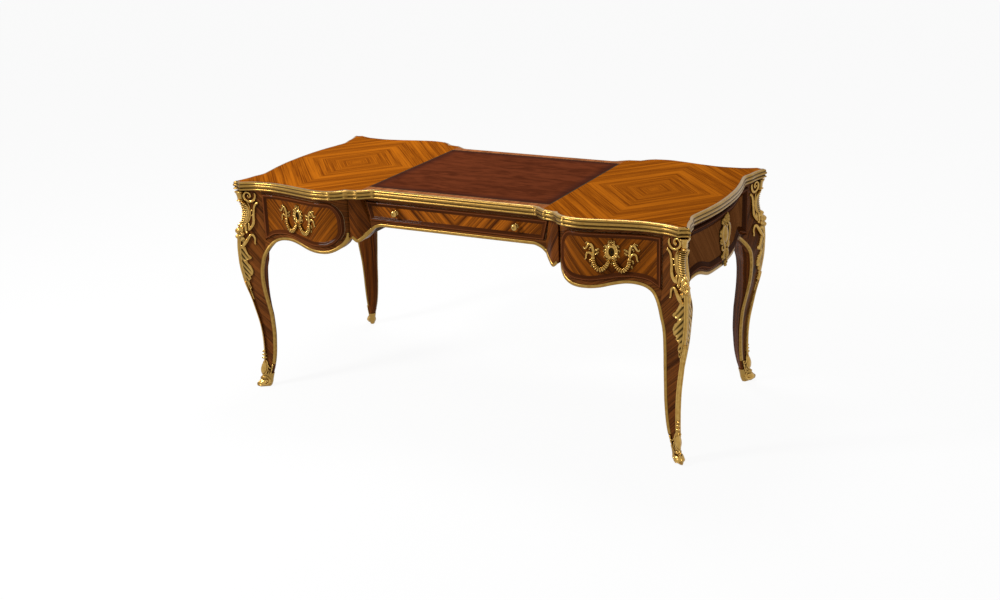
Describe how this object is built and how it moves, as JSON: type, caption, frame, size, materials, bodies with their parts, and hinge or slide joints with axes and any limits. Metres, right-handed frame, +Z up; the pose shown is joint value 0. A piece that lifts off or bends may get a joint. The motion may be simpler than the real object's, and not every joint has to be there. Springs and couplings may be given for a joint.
{
  "type": "writing table",
  "caption": "Flat-topped writing table on cabriole legs, with a leather inset, gilt-bronze mounts, a shaped frieze and sliding drawers around a knee space.",
  "frame": {"origin": "on the floor, under the middle of the table", "axes": "+X along the length to the right as seen from the front, -Y towards the front, +Z up"},
  "size_m": [1.6838, 0.8214, 0.78],
  "materials": {
    "frieze_veneer": "polished veneer",
    "top_veneer": "polished quartered veneer",
    "leather": "worn, waxed",
    "gilt_bronze": "gilt, with darkened recesses",
    "drawer_lining": "plain oak",
    "steel": "filed"
  },
  "bodies": {
    "frame": {"top_panel": "top_veneer", "leather_inset": "leather", "edge_moulding_front": "gilt_bronze", "edge_moulding_right": "gilt_bronze", "edge_moulding_back": "gilt_bronze", "edge_moulding_left": "gilt_bronze", "leg_front_left": "frieze_veneer", "sabot_front_left": "gilt_bronze", "corner_mount_front_left": "gilt_bronze", "leg_front_right": "frieze_veneer", "sabot_front_right": "gilt_bronze", "corner_mount_front_right": "gilt_bronze", "leg_back_left": "frieze_veneer", "sabot_back_left": "gilt_bronze", "corner_mount_back_left": "gilt_bronze", "leg_back_right": "frieze_veneer", "sabot_back_right": "gilt_bronze", "corner_mount_back_right": "gilt_bronze", "edge_strip_front_left": "gilt_bronze", "edge_strip_front_center": "gilt_bronze", "edge_strip_front_right": "gilt_bronze", "edge_strip_back_left": "gilt_bronze", "edge_strip_back_center": "gilt_bronze", "edge_strip_back_right": "gilt_bronze", "edge_strip_side_left": "gilt_bronze", "edge_strip_side_right": "gilt_bronze", "front_apron_left": "frieze_veneer", "front_apron_center": "frieze_veneer", "front_apron_right": "frieze_veneer", "partition_left": "frieze_veneer", "partition_right": "frieze_veneer", "back_frieze": "frieze_veneer", "side_frieze_left": "frieze_veneer", "side_frieze_right": "frieze_veneer", "side_cartouche_left": "gilt_bronze", "side_cartouche_right": "gilt_bronze"},
    "drawer_left": {"drawer_left_front": "frieze_veneer", "drawer_left_side_left": "drawer_lining", "drawer_left_side_right": "drawer_lining", "drawer_left_back": "drawer_lining", "drawer_left_bottom": "drawer_lining", "drawer_pull_left": "gilt_bronze", "lock_case_left": "steel"},
    "drawer_center": {"drawer_center_front": "frieze_veneer", "drawer_center_side_left": "drawer_lining", "drawer_center_side_right": "drawer_lining", "drawer_center_back": "drawer_lining", "drawer_center_bottom": "drawer_lining", "drawer_knob_left": "gilt_bronze", "drawer_knob_right": "gilt_bronze"},
    "drawer_right": {"drawer_right_front": "frieze_veneer", "drawer_right_side_left": "drawer_lining", "drawer_right_side_right": "drawer_lining", "drawer_right_back": "drawer_lining", "drawer_right_bottom": "drawer_lining", "drawer_pull_right": "gilt_bronze", "lock_case_right": "steel"},
    "lock_bolt_left": {"lock_bolt_left": "steel"},
    "lock_bolt_right": {"lock_bolt_right": "steel"}
  },
  "joints": [
    {"name": "drawer_left_slide", "type": "slide", "parent": "frame", "child": "drawer_left", "axis": [0, -1, 0], "range_m": [0, 0.36]},
    {"name": "drawer_center_slide", "type": "slide", "parent": "frame", "child": "drawer_center", "axis": [0, -1, 0], "range_m": [0, 0.29]},
    {"name": "drawer_right_slide", "type": "slide", "parent": "frame", "child": "drawer_right", "axis": [0, -1, 0], "range_m": [0, 0.36]},
    {"name": "lock_bolt_left_slide", "type": "slide", "parent": "drawer_left", "child": "lock_bolt_left", "axis": [0, 0, 1], "range_m": [0, 0.009]},
    {"name": "lock_bolt_right_slide", "type": "slide", "parent": "drawer_right", "child": "lock_bolt_right", "axis": [0, 0, 1], "range_m": [0, 0.009]}
  ]
}
